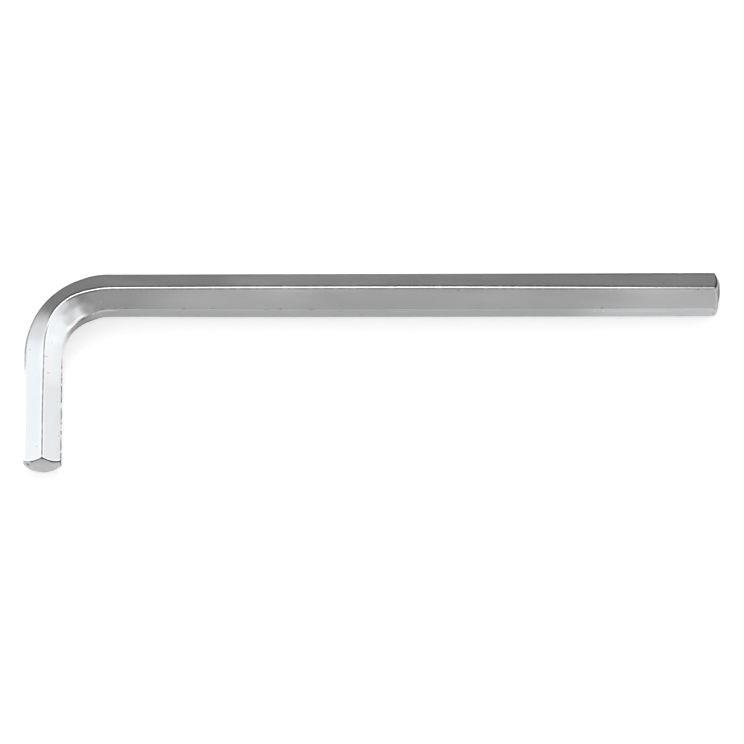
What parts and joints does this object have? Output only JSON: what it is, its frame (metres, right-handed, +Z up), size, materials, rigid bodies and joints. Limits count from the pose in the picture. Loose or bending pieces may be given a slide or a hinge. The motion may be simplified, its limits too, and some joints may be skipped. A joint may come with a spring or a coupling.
{
  "type": "hex key",
  "caption": "L-shaped hexagonal key of plated steel, long pattern, with one bend and domed tips, for turning socket screws.",
  "frame": {"origin": "middle of the key's plan, on the surface that its lower ridge lies on", "axes": "+X along the long leg towards its tip, -Y along the short leg towards its tip, +Z up, square to the plane of the bend"},
  "size_m": [0.1836, 0.0538, 0.0114],
  "materials": {
    "plated_steel": "satin bright plating over drawn alloy steel, tips ground matt"
  },
  "bodies": {
    "root": {"hex_key": "plated_steel"}
  },
  "joints": []
}
